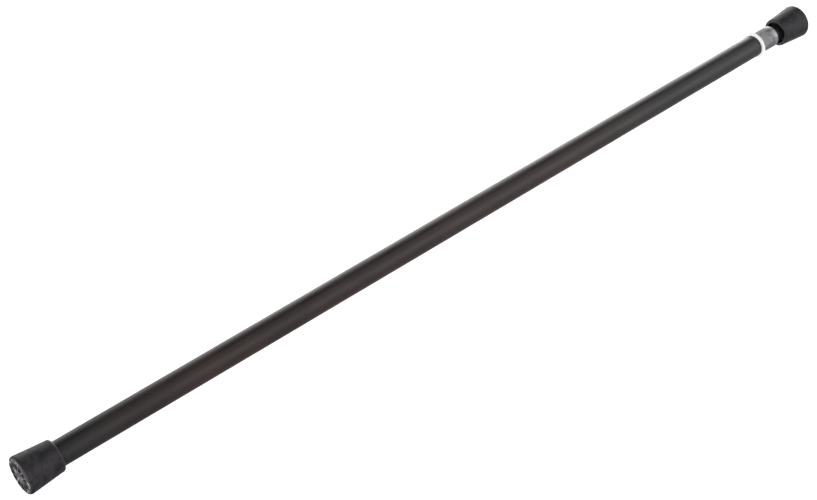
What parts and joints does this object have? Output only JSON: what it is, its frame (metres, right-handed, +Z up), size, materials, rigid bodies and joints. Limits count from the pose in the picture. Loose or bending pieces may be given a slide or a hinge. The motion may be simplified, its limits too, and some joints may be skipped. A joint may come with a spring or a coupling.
{
  "type": "pull up bar",
  "caption": "Telescopic pull-up bar wedged between two walls: twist the black tube to push the far rubber foot out, then lock the collar.",
  "frame": {"origin": "centre of the fixed foot's flat outer face, on the bar's axis", "axes": "+X along the bar's axis, from the fixed foot to the moving foot; +Z up"},
  "size_m": [1.054, 0.0384, 0.0384],
  "materials": {
    "black_coating": "satin",
    "black_rubber": "matte",
    "white_nylon": "matte",
    "black_nylon": "matte",
    "zinc_plate": "satin",
    "plain_steel": "machined",
    "bronze": "machined"
  },
  "bodies": {
    "fixed_foot": {"fixed_foot_cup": "black_rubber", "fixed_foot_load_disc": "zinc_plate", "fixed_foot_bearing": "black_nylon", "fixed_foot_thrust_washer": "bronze"},
    "outer_tube": {"outer_tube": "black_coating", "screw_anchor_plug": "plain_steel", "anchor_cross_pin": "plain_steel", "drive_screw": "plain_steel", "screw_journal_washer": "zinc_plate", "screw_journal_nut": "zinc_plate", "screw_stop_washer": "zinc_plate", "screw_stop_nut": "zinc_plate", "tube_end_bush": "white_nylon"},
    "squeeze_ring": {"collet_squeeze_ring": "bronze"},
    "lock_collar": {"lock_collar": "zinc_plate"},
    "inner_tube": {"inner_tube": "black_coating", "drive_nut": "bronze", "drive_nut_rivets": "plain_steel", "inner_guide_ring": "white_nylon", "moving_foot_sleeve": "black_nylon", "inner_tube_end_plug": "plain_steel", "moving_foot_load_disc": "zinc_plate", "moving_foot_screw": "zinc_plate", "moving_foot_cup": "black_rubber"}
  },
  "joints": [
    {"name": "tube_twist", "type": "hinge", "parent": "fixed_foot", "child": "outer_tube", "pos_m": [0.1, 0, 0], "axis": [-1, 0, 0], "range_deg": [0, 10800]},
    {"name": "inner_slide", "type": "slide", "parent": "fixed_foot", "child": "inner_tube", "axis": [1, 0, 0], "range_m": [0, 0.1802]},
    {"name": "squeeze_slide", "type": "slide", "parent": "outer_tube", "child": "squeeze_ring", "axis": [1, 0, 0], "range_m": [0, 0.00226]},
    {"name": "collar_turn", "type": "hinge", "parent": "squeeze_ring", "child": "lock_collar", "pos_m": [0.99, 0, 0], "axis": [1, 0, 0], "range_deg": [0, 540]}
  ],
  "couplings": [
    {"joint": "inner_slide", "follows": "tube_twist", "m_per_rad": 0.00095493},
    {"joint": "squeeze_slide", "follows": "collar_turn", "m_per_rad": 0.00023873}
  ]
}
